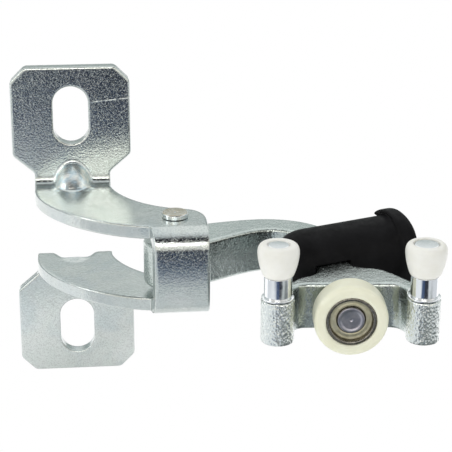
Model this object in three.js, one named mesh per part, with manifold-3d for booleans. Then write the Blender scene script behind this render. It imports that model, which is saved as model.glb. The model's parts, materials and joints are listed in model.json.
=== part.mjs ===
// Centre roller hinge of a sliding van door: a bent steel door bracket, a forged arm that swings on a
// riveted pin, and a carriage with one ball-bearing roller and two barrel-shaped guide rollers.
// Millimetres. +X to the right along the door, +Z up along the hinge pin, -Y out of the door.
// The origin is on the door's mounting plane, midway between the bracket's two slots.
import * as THREE from "three";
import { mergeVertices } from "three/addons/utils/BufferGeometryUtils.js";
import Module from "manifold-3d";

// Door bracket
const PLATE = 6.5;
const FLANGE_WIDTH = 58.4;
const FLANGE_TOP_Z = 80.5;
const FLANGE_CHAMFER = 7.2;
const FLANGE_SHOULDER_Z = 35.9;
const NECK_WIDTH = 37.4;
const NECK_TOP_Z = 26.8;
const SLOT_WIDTH = 17.3;
const SLOT_LENGTH = 29.3;
const SLOT_Z = 56.2;
const ARM_GAP = 29.6;
const FLANGE_BEND_INNER_R = 4;
const WEB_BEND_OUTER_R = 10;

// Pressed gussets: a dome in each flange bend with a dimple behind it, both lying along a slope
const GUSSET_SLOPE_DEG = 32.6;
const GUSSET_Y = -8.5;
const GUSSET_Z = 22.8;
const GUSSET_RADII = [9.4, 14.4, 7.8];
const DIMPLE_Y = -4;
const DIMPLE_Z = 15.2;
const DIMPLE_RADII = [9.2, 14, 8.6];

// Hinge pin, measured from its own axis
const PIVOT_X = 47.3;
const PIVOT_Y = -60;
const PIN_R = 5;
const PIN_HEAD_R = 6.15;
const PIN_HEAD_HEIGHT = 2.4;
const WEB_FRONT_Y = -22.5;
const WEB_LEFT_X = -10.4;
const WEB_RIGHT_X = 14.6;

// Bushes and washers
const BUSH_OUTER_R = 7;
const BUSH_FLANGE_R = 10.5;
const BUSH_FLANGE = 1.5;
const BUSH_LENGTH = 9.5;
const WASHER_R = 11.5;
const WASHER_THICKNESS = 2;
const RUNNING_CLEARANCE = 0.1;
const FACE_GAP = 0.2;

// Forged arm and carriage, in the arm's own plan axes through the hinge pin
const SWING_AT_REST_DEG = -4.4;
const FORGING_HEIGHT = 21.6;
const FORGING_EDGE = 1;
const HUB_R = 15;
const NECK_LEFT_X = 64;
const NECK_RIGHT_X = 79.3;
const CARRIAGE_X = 76.3;
const CARRIAGE_FRONT_Y = -57.8;
const ROLLER_LINE_Y = -69.25;
const GUIDE_SPACING = 63.2;
const BOSS_R = 7.35;
const BOSS_TOP_Z = 9;
const BOSS_SPOT_FACE_R = 7.5;
const BOSS_BORE_R = 4.6;
const AXLE_BORE_DEPTH = 15;

// Guide pins and guide rollers
const GUIDE_SHANK_R = 4.5;
const GUIDE_JOURNAL_R = 4;
const GUIDE_FOOT_R = 7.1;
const GUIDE_FOOT_HEIGHT = 0.9;
const GUIDE_COLLAR_R = 6.1;
const GUIDE_COLLAR_TOP_Z = 19.5;
const GUIDE_HEAD_R_LEFT = 4.75;
const GUIDE_HEAD_R_RIGHT = 5.4;
const GUIDE_HEAD_FLOOR_Z = 32.8;
const GUIDE_HEAD_TOP_Z = 34;
const GUIDE_ROLLER_TOP_Z = 34.1;

// Main roller on a 608 ball bearing
const TYRE_R = 16.2;
const TYRE_FRONT = 5.8;
const TYRE_REAR = 7;
const BEARING_OUTER_R = 11;
const BEARING_BORE_R = 4;
const BEARING_WIDTH = 6.2;
const OUTER_RING_WIDTH = 10.6;
const INNER_LAND_R = 6.05;
const OUTER_LAND_R = 9.15;
const SHIELD_SEAT_R = 9.5;
const OUTER_RING_MOUTH_R = 9.8;
const BALL_CIRCLE_R = 7.5;
const BALL_R = 1.95;
const RACE_GROOVE_R = 2.1;
const BALL_COUNT = 7;
const AXLE_SHOULDER_R = 6;
const AXLE_HEAD_R = 6;
const AXLE_HEAD_HEIGHT = 0.8;

// Rubber buffer over the neck of the forging
const BUFFER_SLANT_DEG = 25;
const BUFFER_X = 69.5;
const BUFFER_Y = -20;
const BUFFER_AXIS_Z = 8.5;
const BUFFER_BOTTOM_Z = -6;
const BUFFER_R = 14.7;
const BUFFER_START = -22;
const BUFFER_END = 39.5;
const BUFFER_FLANGE_R = 17.4;
const BUFFER_FLANGE_WIDTH = 7.6;
const BUFFER_UNDERCUT = 1.7;
const FLANGE_CUT_DEG = 41;
const BUFFER_SLOT_GAP = 0.3;
const ELBOW_RELIEF_X = 54;
const ELBOW_RELIEF_Y = -13;

const ROUND_SEGMENTS = 36;
const SMALL_SEGMENTS = 24;
const TYRE_SEGMENTS = 40;

const wasm = await Module();
wasm.setup();

const rad = THREE.MathUtils.degToRad;

function toSolid(geometry) {
  const plain = geometry.clone();
  plain.deleteAttribute("normal");
  plain.deleteAttribute("uv");
  const merged = mergeVertices(plain, 1e-4);
  return new wasm.Manifold(
    new wasm.Mesh({
      numProp: 3,
      vertProperties: merged.attributes.position.array,
      triVerts: new Uint32Array(merged.index.array),
    }),
  );
}

function toGeometry(solid) {
  const mesh = solid.getMesh();
  const geometry = new THREE.BufferGeometry();
  geometry.setAttribute("position", new THREE.BufferAttribute(new Float32Array(mesh.vertProperties), 3));
  geometry.setIndex(new THREE.BufferAttribute(new Uint32Array(mesh.triVerts), 1));
  geometry.computeVertexNormals();
  return geometry;
}

// Extrudes an XY outline upwards from z0.
function prism(shape, z0, height, curveSegments = 10) {
  const geometry = new THREE.ExtrudeGeometry(shape, { depth: height, bevelEnabled: false, curveSegments });
  return geometry.translate(0, 0, z0);
}

// Extrudes an XY outline between z0 and z0 + height with its edges chamfered inside the outline.
function chamferedPrism(shape, z0, height, edge, curveSegments = 10) {
  const geometry = new THREE.ExtrudeGeometry(shape, {
    depth: height - 2 * edge,
    bevelEnabled: true,
    bevelThickness: edge,
    bevelSize: edge,
    bevelOffset: -edge,
    bevelSegments: 1,
    curveSegments,
  });
  return geometry.translate(0, 0, z0 + edge);
}

// Turns a profile of [radius, height] points about +Z.
function turned(profile, segments = ROUND_SEGMENTS) {
  const points = profile.map(([r, z]) => new THREE.Vector2(r, z));
  return new THREE.LatheGeometry(points, segments).rotateX(Math.PI / 2);
}

// A ring or tube about +Z, as a closed profile.
function ring(innerR, outerR, z0, z1, segments = ROUND_SEGMENTS) {
  return turned(
    [
      [innerR, z0],
      [outerR, z0],
      [outerR, z1],
      [innerR, z1],
      [innerR, z0],
    ],
    segments,
  );
}

function rod(r, z0, z1, segments = ROUND_SEGMENTS) {
  return turned(
    [
      [0, z0],
      [r, z0],
      [r, z1],
      [0, z1],
    ],
    segments,
  );
}

function box(x0, x1, y0, y1, z0, z1) {
  const geometry = new THREE.BoxGeometry(x1 - x0, y1 - y0, z1 - z0);
  return geometry.translate((x0 + x1) / 2, (y0 + y1) / 2, (z0 + z1) / 2);
}

const halfGap = ARM_GAP / 2;
const armOuterZ = halfGap + PLATE;
const halfForging = FORGING_HEIGHT / 2;

// ---- Door bracket ----

// The bent strip seen from the side, as (y, z): flange, arm, web, arm and flange in one thickness.
function bracketSideProfile() {
  const webOuterY = PIVOT_Y + WEB_FRONT_Y;
  const webInnerY = webOuterY + PLATE;
  const webBendY = webOuterY + WEB_BEND_OUTER_R;
  const webInnerR = WEB_BEND_OUTER_R - PLATE;
  const backR = FLANGE_BEND_INNER_R + PLATE;
  const quarter = Math.PI / 2;
  const s = new THREE.Shape();
  s.moveTo(0, FLANGE_TOP_Z);
  s.lineTo(-PLATE, FLANGE_TOP_Z);
  s.lineTo(-PLATE, armOuterZ + FLANGE_BEND_INNER_R);
  s.absarc(-backR, armOuterZ + FLANGE_BEND_INNER_R, FLANGE_BEND_INNER_R, 0, -quarter, true);
  s.lineTo(webBendY, armOuterZ);
  s.absarc(webBendY, armOuterZ - WEB_BEND_OUTER_R, WEB_BEND_OUTER_R, quarter, 2 * quarter);
  s.lineTo(webOuterY, WEB_BEND_OUTER_R - armOuterZ);
  s.absarc(webBendY, WEB_BEND_OUTER_R - armOuterZ, WEB_BEND_OUTER_R, 2 * quarter, 3 * quarter);
  s.lineTo(-backR, -armOuterZ);
  s.absarc(-backR, -armOuterZ - FLANGE_BEND_INNER_R, FLANGE_BEND_INNER_R, quarter, 0, true);
  s.lineTo(-PLATE, -FLANGE_TOP_Z);
  s.lineTo(0, -FLANGE_TOP_Z);
  s.lineTo(0, -halfGap - backR);
  s.absarc(-backR, -halfGap - backR, backR, 0, quarter);
  s.lineTo(webInnerY + webInnerR, -halfGap);
  s.absarc(webInnerY + webInnerR, webInnerR - halfGap, webInnerR, 3 * quarter, 2 * quarter, true);
  s.lineTo(webInnerY, halfGap - webInnerR);
  s.absarc(webInnerY + webInnerR, halfGap - webInnerR, webInnerR, 2 * quarter, quarter, true);
  s.lineTo(-backR, halfGap);
  s.absarc(-backR, halfGap + backR, backR, 3 * quarter, 4 * quarter);
  s.lineTo(0, FLANGE_TOP_Z);
  return s;
}

// The arms and web seen from above: a crescent from the flange's neck round to the hinge pin.
function bracketPlan() {
  const x = (v) => PIVOT_X + v;
  const y = (v) => PIVOT_Y + v;
  const neck = NECK_WIDTH / 2;
  const s = new THREE.Shape();
  s.moveTo(neck, 1);
  s.lineTo(-neck, 1);
  s.lineTo(-neck, y(44));
  s.bezierCurveTo(x(-65.5), y(22), x(-42), y(-6), x(WEB_LEFT_X - 2.2), y(-11.8));
  s.lineTo(x(WEB_LEFT_X), y(WEB_FRONT_Y - 1));
  s.lineTo(x(WEB_RIGHT_X), y(WEB_FRONT_Y - 1));
  s.lineTo(x(WEB_RIGHT_X), y(-3));
  s.quadraticCurveTo(x(14.2), y(8.4), x(6), y(11));
  s.bezierCurveTo(x(-17), y(16), x(-27.5), y(38), neck, y(48.5));
  return s;
}

// The upper flange seen from the front, as (x, z), with its neck.
function flangeOutline() {
  const w = FLANGE_WIDTH / 2;
  const n = NECK_WIDTH / 2;
  const c = FLANGE_CHAMFER;
  const s = new THREE.Shape();
  s.moveTo(-n, halfGap);
  s.lineTo(n, halfGap);
  s.lineTo(n, NECK_TOP_Z - 1.5);
  s.quadraticCurveTo(n, NECK_TOP_Z, n + 1.5, NECK_TOP_Z + 1.5);
  s.lineTo(w - 1, FLANGE_SHOULDER_Z - 1);
  s.quadraticCurveTo(w, FLANGE_SHOULDER_Z, w, FLANGE_SHOULDER_Z + 1.4);
  s.lineTo(w, FLANGE_TOP_Z - c - 1);
  s.quadraticCurveTo(w, FLANGE_TOP_Z - c, w - 0.8, FLANGE_TOP_Z - c + 0.8);
  s.lineTo(w - c + 0.8, FLANGE_TOP_Z - 0.8);
  s.quadraticCurveTo(w - c, FLANGE_TOP_Z, w - c - 1, FLANGE_TOP_Z);
  s.lineTo(-w + c + 1, FLANGE_TOP_Z);
  s.quadraticCurveTo(-w + c, FLANGE_TOP_Z, -w + c - 0.8, FLANGE_TOP_Z - 0.8);
  s.lineTo(-w + 0.8, FLANGE_TOP_Z - c + 0.8);
  s.quadraticCurveTo(-w, FLANGE_TOP_Z - c, -w, FLANGE_TOP_Z - c - 1);
  s.lineTo(-w, FLANGE_SHOULDER_Z + 1.4);
  s.quadraticCurveTo(-w, FLANGE_SHOULDER_Z, -w + 1, FLANGE_SHOULDER_Z - 1);
  s.lineTo(-n - 1.5, NECK_TOP_Z + 1.5);
  s.quadraticCurveTo(-n, NECK_TOP_Z, -n, NECK_TOP_Z - 1.5);
  s.closePath();
  return s;
}

function slotOutline() {
  const r = SLOT_WIDTH / 2;
  const h = SLOT_LENGTH / 2 - r;
  const s = new THREE.Shape();
  s.absarc(0, SLOT_Z + h, r, 0, Math.PI);
  s.absarc(0, SLOT_Z - h, r, Math.PI, 2 * Math.PI);
  s.closePath();
  return s;
}

// Extrudes an (x, z) outline forwards from y0.
function frontPrism(shape, y0, depth) {
  const geometry = new THREE.ExtrudeGeometry(shape, { depth, bevelEnabled: false, curveSegments: 6 });
  return geometry.rotateX(Math.PI / 2).translate(0, y0, 0);
}

// An ellipsoid in the upper flange's bend, its long radius along the gusset's slope.
function gussetBody(y, z, radii) {
  const geometry = new THREE.SphereGeometry(1, 24, 14);
  return toSolid(geometry.scale(...radii).rotateX(rad(GUSSET_SLOPE_DEG)).translate(0, y, z));
}

function doorBracket() {
  const sideways = new THREE.Matrix4().makeBasis(
    new THREE.Vector3(0, 1, 0),
    new THREE.Vector3(0, 0, 1),
    new THREE.Vector3(1, 0, 0),
  );
  const strip = new THREE.ExtrudeGeometry(bracketSideProfile(), {
    depth: 160,
    bevelEnabled: false,
    curveSegments: 3,
  });
  strip.applyMatrix4(sideways).translate(-60, 0, 0);
  const plan = toSolid(prism(bracketPlan(), -NECK_TOP_Z + 2, 2 * NECK_TOP_Z - 4, 9));
  const upperFlange = toSolid(frontPrism(flangeOutline(), 1, 13));
  const lowerFlange = upperFlange.mirror([0, 0, 1]);
  let solid = toSolid(strip).intersect(plan.add(upperFlange).add(lowerFlange));

  const behindDoorPlane = toSolid(box(-FLANGE_WIDTH, FLANGE_WIDTH, -0.01, 40, -100, 100));
  const dome = gussetBody(GUSSET_Y, GUSSET_Z, GUSSET_RADII).subtract(behindDoorPlane);
  const dimple = gussetBody(DIMPLE_Y, DIMPLE_Z, DIMPLE_RADII);
  solid = solid.add(dome).add(dome.mirror([0, 0, 1]));
  solid = solid.subtract(dimple).subtract(dimple.mirror([0, 0, 1]));

  const slot = toSolid(frontPrism(slotOutline(), 1, 10));
  const pinBore = toSolid(rod(PIN_R + RUNNING_CLEARANCE, -40, 40).translate(PIVOT_X, PIVOT_Y, 0));
  return solid.subtract(slot).subtract(slot.mirror([0, 0, 1])).subtract(pinBore);
}

// ---- Hinge pin, bushes and washers, about their own axis ----

function hingePin() {
  const seat = armOuterZ + FACE_GAP;
  const top = seat + PIN_HEAD_HEIGHT;
  return turned([
    [0, -top],
    [PIN_HEAD_R - 0.4, -top],
    [PIN_HEAD_R + 0.2, -top + 0.7],
    [PIN_HEAD_R + 0.2, -seat],
    [PIN_R, -seat],
    [PIN_R, seat],
    [PIN_HEAD_R, seat],
    [PIN_HEAD_R, top - 0.6],
    [PIN_HEAD_R - 0.5, top],
    [0.7, top],
    [0, top - 0.5],
  ]);
}

function flangedBush() {
  const inner = PIN_R + RUNNING_CLEARANCE;
  const face = halfForging + RUNNING_CLEARANCE;
  return turned([
    [inner, halfForging - BUSH_LENGTH],
    [BUSH_OUTER_R, halfForging - BUSH_LENGTH],
    [BUSH_OUTER_R, face],
    [BUSH_FLANGE_R, face],
    [BUSH_FLANGE_R, face + BUSH_FLANGE],
    [inner, face + BUSH_FLANGE],
    [inner, halfForging - BUSH_LENGTH],
  ]);
}

function thrustWasher() {
  const z0 = halfForging + RUNNING_CLEARANCE + BUSH_FLANGE + FACE_GAP;
  return ring(PIN_R + RUNNING_CLEARANCE, WASHER_R, z0, z0 + WASHER_THICKNESS);
}

// ---- Forged arm and carriage ----

function forgingOutline() {
  const leftX = CARRIAGE_X - GUIDE_SPACING / 2;
  const rightX = CARRIAGE_X + GUIDE_SPACING / 2;
  const front = CARRIAGE_FRONT_Y;
  const s = new THREE.Shape();
  s.absarc(0, 0, HUB_R, rad(105), rad(333));
  s.bezierCurveTo(25, 1, 36, 11, 46, 11);
  s.bezierCurveTo(54, 11, NECK_LEFT_X, 3, NECK_LEFT_X, -10);
  s.lineTo(NECK_LEFT_X, -40);
  s.quadraticCurveTo(NECK_LEFT_X, -45.5, 58, -48);
  s.quadraticCurveTo(50.5, -52, leftX + 3.7, -63);
  s.lineTo(leftX + 3.7, -66.5);
  s.lineTo(leftX + 6.6, -66.5);
  s.quadraticCurveTo(leftX + 7.6, front, leftX + 13.5, front);
  s.lineTo(rightX - 13.5, front);
  s.quadraticCurveTo(rightX - 7.6, front, rightX - 6.6, -66.5);
  s.lineTo(rightX - 3.7, -66.5);
  s.lineTo(rightX + 3.6, -63);
  s.bezierCurveTo(104, -58, 98, -39.5, 88, -38.4);
  s.quadraticCurveTo(NECK_RIGHT_X, -37.6, NECK_RIGHT_X, -31);
  s.lineTo(NECK_RIGHT_X, -8);
  s.bezierCurveTo(NECK_RIGHT_X, 8, 66, 26, 43.6, 26.1);
  s.bezierCurveTo(33, 26.2, 20, 21.8, HUB_R * Math.cos(rad(105)), HUB_R * Math.sin(rad(105)));
  return s;
}

function bossBody() {
  return turned([
    [0, -halfForging],
    [BOSS_R - 0.8, -halfForging],
    [BOSS_R, -halfForging + 0.8],
    [BOSS_R, BOSS_TOP_Z],
    [0, BOSS_TOP_Z],
  ]);
}

function rollerArm() {
  const leftX = CARRIAGE_X - GUIDE_SPACING / 2;
  const rightX = CARRIAGE_X + GUIDE_SPACING / 2;
  let solid = toSolid(chamferedPrism(forgingOutline(), -halfForging, FORGING_HEIGHT, FORGING_EDGE, 8));
  for (const x of [leftX, rightX]) {
    solid = solid.add(toSolid(bossBody().translate(x, ROLLER_LINE_Y, 0)));
    const spotFace = rod(BOSS_SPOT_FACE_R, BOSS_TOP_Z, FORGING_HEIGHT);
    solid = solid.subtract(toSolid(spotFace.translate(x, ROLLER_LINE_Y, 0)));
    const pinBore = rod(BOSS_BORE_R, -FORGING_HEIGHT, FORGING_HEIGHT, SMALL_SEGMENTS);
    solid = solid.subtract(toSolid(pinBore.translate(x, ROLLER_LINE_Y, 0)));
  }
  const axleBore = rod(BEARING_BORE_R + RUNNING_CLEARANCE, 0, 30, SMALL_SEGMENTS).rotateX(Math.PI / 2);
  axleBore.translate(CARRIAGE_X, CARRIAGE_FRONT_Y + AXLE_BORE_DEPTH, 0);
  solid = solid.subtract(toSolid(axleBore));
  return solid.subtract(toSolid(rod(BUSH_OUTER_R + 0.05, -20, 20)));
}

// ---- Guide pins and rollers, about their own axis ----

function guidePin(headR) {
  const foot = BOSS_TOP_Z + FACE_GAP;
  return turned(
    [
      [0, -halfForging + 0.1],
      [GUIDE_SHANK_R, -halfForging + 0.1],
      [GUIDE_SHANK_R, foot],
      [GUIDE_FOOT_R, foot],
      [GUIDE_FOOT_R, foot + GUIDE_FOOT_HEIGHT - 0.3],
      [GUIDE_FOOT_R - 0.3, foot + GUIDE_FOOT_HEIGHT],
      [GUIDE_COLLAR_R, foot + GUIDE_FOOT_HEIGHT],
      [GUIDE_COLLAR_R, GUIDE_COLLAR_TOP_Z],
      [GUIDE_JOURNAL_R, GUIDE_COLLAR_TOP_Z],
      [GUIDE_JOURNAL_R, GUIDE_HEAD_FLOOR_Z],
      [headR, GUIDE_HEAD_FLOOR_Z],
      [headR, GUIDE_HEAD_TOP_Z - 0.3],
      [headR - 0.3, GUIDE_HEAD_TOP_Z],
      [0, GUIDE_HEAD_TOP_Z],
    ],
    SMALL_SEGMENTS,
  );
}

function guideRoller(headR) {
  const bore = GUIDE_JOURNAL_R + RUNNING_CLEARANCE;
  const bottom = GUIDE_COLLAR_TOP_Z + FACE_GAP;
  const recessFloor = GUIDE_HEAD_FLOOR_Z - FACE_GAP;
  const recessR = headR + 0.2;
  return turned(
    [
      [bore, bottom],
      [6.3, bottom],
      [6.7, bottom + 0.4],
      [7.5, 22.1],
      [8.35, 25.4],
      [8.9, 28.7],
      [9.05, 30.8],
      [8.75, 32.5],
      [7.8, 33.7],
      [6.6, GUIDE_ROLLER_TOP_Z],
      [recessR, GUIDE_ROLLER_TOP_Z],
      [recessR, recessFloor],
      [bore, recessFloor],
      [bore, bottom],
    ],
    ROUND_SEGMENTS,
  );
}

// ---- Main roller, about +Z from the middle of the bearing, its outer side at -Z ----

function rollerAxle() {
  const back = -ROLLER_LINE_Y + CARRIAGE_FRONT_Y;
  const shoulderEnd = BEARING_WIDTH / 2 + RUNNING_CLEARANCE;
  const headFoot = -BEARING_WIDTH / 2 - RUNNING_CLEARANCE;
  const headTop = headFoot - AXLE_HEAD_HEIGHT;
  return turned(
    [
      [0, headTop + 0.9],
      [0.6, headTop + 0.35],
      [4, headTop + 0.3],
      [5, headTop],
      [AXLE_HEAD_R - 0.4, headTop],
      [AXLE_HEAD_R, headTop + 0.4],
      [AXLE_HEAD_R, headFoot],
      [BEARING_BORE_R - 0.05, headFoot],
      [BEARING_BORE_R - 0.05, shoulderEnd],
      [AXLE_SHOULDER_R, shoulderEnd],
      [AXLE_SHOULDER_R, back - FACE_GAP],
      [BEARING_BORE_R, back - FACE_GAP],
      [BEARING_BORE_R, back + AXLE_BORE_DEPTH - 0.5],
      [0, back + AXLE_BORE_DEPTH - 0.5],
    ],
    SMALL_SEGMENTS,
  );
}

// Points of a race groove's arc from one land to the other.
function grooveArc(landR, towardsAxis) {
  const half = Math.sqrt(RACE_GROOVE_R ** 2 - (landR - BALL_CIRCLE_R) ** 2);
  const steps = 4;
  const points = [];
  for (let i = 0; i <= steps; i++) {
    const z = half * (1 - (2 * i) / steps);
    const bulge = Math.sqrt(Math.max(0, RACE_GROOVE_R ** 2 - z * z));
    points.push([BALL_CIRCLE_R + (towardsAxis ? -bulge : bulge), z]);
  }
  return points;
}

function bearingInnerRing() {
  const w = BEARING_WIDTH / 2;
  return turned([
    [BEARING_BORE_R, -w],
    [INNER_LAND_R, -w],
    ...grooveArc(INNER_LAND_R, true).reverse(),
    [INNER_LAND_R, w],
    [BEARING_BORE_R, w],
    [BEARING_BORE_R, -w],
  ]);
}

// The outer ring is wider than the inner one, so the shields lie in a recess on each side.
function bearingOuterRing() {
  const w = OUTER_RING_WIDTH / 2;
  const r = BEARING_OUTER_R;
  const land = BEARING_WIDTH / 2 - 0.7;
  const mouth = OUTER_RING_MOUTH_R;
  return turned([
    [mouth, -w],
    [r - 0.4, -w],
    [r, -w + 0.4],
    [r, w - 0.4],
    [r - 0.4, w],
    [mouth, w],
    [SHIELD_SEAT_R, w - 0.5],
    [SHIELD_SEAT_R, land],
    [OUTER_LAND_R, land],
    ...grooveArc(OUTER_LAND_R, false),
    [OUTER_LAND_R, -land],
    [SHIELD_SEAT_R, -land],
    [SHIELD_SEAT_R, 0.5 - w],
    [mouth, -w],
  ]);
}

function bearingShield() {
  const z = 0.1 - BEARING_WIDTH / 2;
  return ring(INNER_LAND_R + 0.25, SHIELD_SEAT_R - 0.1, z, z + 0.4);
}

function ballPosition(index) {
  const angle = (2 * Math.PI * index) / BALL_COUNT;
  return [BALL_CIRCLE_R * Math.cos(angle), BALL_CIRCLE_R * Math.sin(angle), 0];
}

// A crown cage: a thin ring behind the balls with prongs between them.
function bearingCage() {
  let solid = toSolid(ring(7, 8, -0.6, 2.55));
  for (let i = 0; i < BALL_COUNT; i++) {
    const pocket = new THREE.SphereGeometry(BALL_R + 0.1, 14, 8).translate(...ballPosition(i));
    solid = solid.subtract(toSolid(pocket));
  }
  return solid;
}

function rollerTyre() {
  const bore = BEARING_OUTER_R + 0.05;
  const lip = OUTER_RING_WIDTH / 2;
  const side = (w) => [
    [bore, lip],
    [12, w - 0.1],
    [13.2, w],
    [14.6, w - 0.15],
    [15.6, w - 0.8],
    [TYRE_R, w - 2],
  ];
  const front = side(TYRE_FRONT).map(([r, z]) => [r, -z]);
  const profile = [...front, ...side(TYRE_REAR).reverse()];
  return turned([...profile, profile[0]], TYRE_SEGMENTS);
}

// ---- Rubber buffer ----

// Half of the buffer's plan: [distance along its axis, radius].
const bufferProfile = [
  [BUFFER_START, 0],
  [BUFFER_START, 7.5],
  [BUFFER_START + 1.2, 10.4],
  [BUFFER_START + 3.6, 12.8],
  [BUFFER_START + 7, 14.1],
  [BUFFER_START + 11, BUFFER_R],
  [BUFFER_END - BUFFER_FLANGE_WIDTH + BUFFER_UNDERCUT, BUFFER_R],
  [BUFFER_END - BUFFER_FLANGE_WIDTH, BUFFER_FLANGE_R - 0.9],
  [BUFFER_END - BUFFER_FLANGE_WIDTH + 0.6, BUFFER_FLANGE_R],
  [BUFFER_END - 1.4, BUFFER_FLANGE_R],
  [BUFFER_END, BUFFER_FLANGE_R - 1.4],
  [BUFFER_END, 0],
];

// The flange is trimmed back to the body on the side that faces the door, below a radial cut.
function farSideOfFlange() {
  const start = BUFFER_END - BUFFER_FLANGE_WIDTH - 1;
  const end = BUFFER_END + 1;
  const body = rod(BUFFER_R, start - 1, end + 1).rotateY(Math.PI / 2);
  const skirt = box(start - 1, end + 1, -BUFFER_R, BUFFER_R, -40, 0);
  const reach = 40;
  const wedge = new THREE.Shape();
  wedge.moveTo(0, 0);
  wedge.lineTo(0, -reach);
  wedge.lineTo(reach, -reach);
  wedge.lineTo(reach * Math.sin(rad(FLANGE_CUT_DEG)), reach * Math.cos(rad(FLANGE_CUT_DEG)));
  wedge.closePath();
  const across = new THREE.Matrix4().makeBasis(
    new THREE.Vector3(0, 1, 0),
    new THREE.Vector3(0, 0, 1),
    new THREE.Vector3(1, 0, 0),
  );
  const cut = prism(wedge, start, end - start).applyMatrix4(across);
  return toSolid(cut).subtract(toSolid(body)).subtract(toSolid(skirt));
}

function rubberBuffer() {
  const round = turned(
    bufferProfile.map(([along, r]) => [r, along]),
    ROUND_SEGMENTS,
  );
  round.rotateY(Math.PI / 2);
  // The skirt stands a hair inside the round top, so that no two faces coincide.
  const inset = 0.02;
  const sides = bufferProfile.slice(1, -1).map(([along, r]) => [
    THREE.MathUtils.clamp(along, BUFFER_START + inset, BUFFER_END - inset),
    r - inset,
  ]);
  const skirtOutline = new THREE.Shape();
  skirtOutline.moveTo(sides[0][0], -sides[0][1]);
  for (const [along, r] of sides.slice(1)) skirtOutline.lineTo(along, -r);
  for (const [along, r] of [...sides].reverse()) skirtOutline.lineTo(along, r);
  skirtOutline.closePath();
  const depth = BUFFER_AXIS_Z - BUFFER_BOTTOM_Z;
  const skirt = toSolid(prism(skirtOutline, -depth, depth - 0.1));
  const below = toSolid(box(-80, 80, -40, 40, -60, -depth));
  const whole = toSolid(round).add(skirt).subtract(below);
  const trimmed = whole.subtract(farSideOfFlange());
  const placed = trimmed.rotate([0, 0, BUFFER_SLANT_DEG]).translate([BUFFER_X, BUFFER_Y, BUFFER_AXIS_Z]);
  const slotTop = halfForging + BUFFER_SLOT_GAP;
  const slotLeft = NECK_LEFT_X - BUFFER_SLOT_GAP;
  const slotRight = NECK_RIGHT_X + BUFFER_SLOT_GAP;
  const neckSlot = box(slotLeft, slotRight, -80, 60, -40, slotTop);
  const elbowRelief = box(ELBOW_RELIEF_X, NECK_RIGHT_X, ELBOW_RELIEF_Y, 60, -40, slotTop);
  return placed.subtract(toSolid(neckSlot)).subtract(toSolid(elbowRelief));
}

// ---- Assembly ----

const zincPlate = new THREE.MeshStandardMaterial({ color: 0xb9c1c4, metalness: 0.9, roughness: 0.4 });
const brightSteel = new THREE.MeshStandardMaterial({ color: 0xd0d4d6, metalness: 1, roughness: 0.2 });
const bushBronze = new THREE.MeshStandardMaterial({ color: 0x9c7a45, metalness: 0.8, roughness: 0.4 });
const shieldSteel = new THREE.MeshStandardMaterial({ color: 0xa39c7c, metalness: 0.9, roughness: 0.35 });
const cageNylon = new THREE.MeshStandardMaterial({ color: 0x4c4a44, metalness: 0, roughness: 0.6 });
const guideNylon = new THREE.MeshStandardMaterial({ color: 0xf0efe8, metalness: 0, roughness: 0.45 });
const tyreNylon = new THREE.MeshStandardMaterial({ color: 0xe9e8d2, metalness: 0, roughness: 0.45 });
const blackRubber = new THREE.MeshStandardMaterial({ color: 0x17181a, metalness: 0, roughness: 0.8 });

const group = new THREE.Group();

function addNode(parent, name, shape, material) {
  const geometry = shape.isBufferGeometry ? shape : toGeometry(shape);
  const mesh = new THREE.Mesh(geometry, material);
  mesh.name = name;
  parent.add(mesh);
  return mesh;
}

addNode(group, "door_bracket", doorBracket(), zincPlate);

const hinge = new THREE.Group();
hinge.position.set(PIVOT_X, PIVOT_Y, 0);
group.add(hinge);
addNode(hinge, "hinge_pin", hingePin(), brightSteel);
addNode(hinge, "upper_thrust_washer", thrustWasher(), brightSteel);
addNode(hinge, "lower_thrust_washer", thrustWasher().rotateX(Math.PI), brightSteel);

const arm = new THREE.Group();
arm.rotation.z = rad(SWING_AT_REST_DEG);
hinge.add(arm);
addNode(arm, "upper_hinge_bush", flangedBush(), bushBronze);
addNode(arm, "lower_hinge_bush", flangedBush().rotateX(Math.PI), bushBronze);
addNode(arm, "roller_arm", rollerArm(), zincPlate);
addNode(arm, "rubber_buffer", rubberBuffer(), blackRubber);

const guides = [
  ["left", CARRIAGE_X - GUIDE_SPACING / 2, GUIDE_HEAD_R_LEFT],
  ["right", CARRIAGE_X + GUIDE_SPACING / 2, GUIDE_HEAD_R_RIGHT],
];
for (const [side, x, headR] of guides) {
  addNode(arm, "guide_pin_" + side, guidePin(headR), brightSteel).position.set(x, ROLLER_LINE_Y, 0);
  addNode(arm, "guide_roller_" + side, guideRoller(headR), guideNylon).position.set(x, ROLLER_LINE_Y, 0);
}

const mainRoller = new THREE.Group();
mainRoller.position.set(CARRIAGE_X, ROLLER_LINE_Y, 0);
mainRoller.rotation.x = -Math.PI / 2;
arm.add(mainRoller);
addNode(mainRoller, "roller_axle", rollerAxle(), brightSteel);
addNode(mainRoller, "bearing_inner_ring", bearingInnerRing(), brightSteel);
addNode(mainRoller, "bearing_outer_ring", bearingOuterRing(), brightSteel);
addNode(mainRoller, "bearing_shield_front", bearingShield(), shieldSteel);
addNode(mainRoller, "bearing_shield_rear", bearingShield().rotateX(Math.PI), shieldSteel);
addNode(mainRoller, "bearing_cage", bearingCage(), cageNylon);
for (let i = 0; i < BALL_COUNT; i++) {
  const sphere = new THREE.SphereGeometry(BALL_R, 12, 6);
  addNode(mainRoller, "bearing_ball_" + (i + 1), sphere, brightSteel).position.set(...ballPosition(i));
}
addNode(mainRoller, "roller_tyre", rollerTyre(), tyreNylon);

export default group;
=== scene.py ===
# Sliding door roller hinge: the looks of each piece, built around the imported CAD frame.
# Sizes below are in millimetres in the part's frame; objects are in metres.
import json
import math

import bpy
import numpy as np
from mathutils import Matrix, Vector


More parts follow.
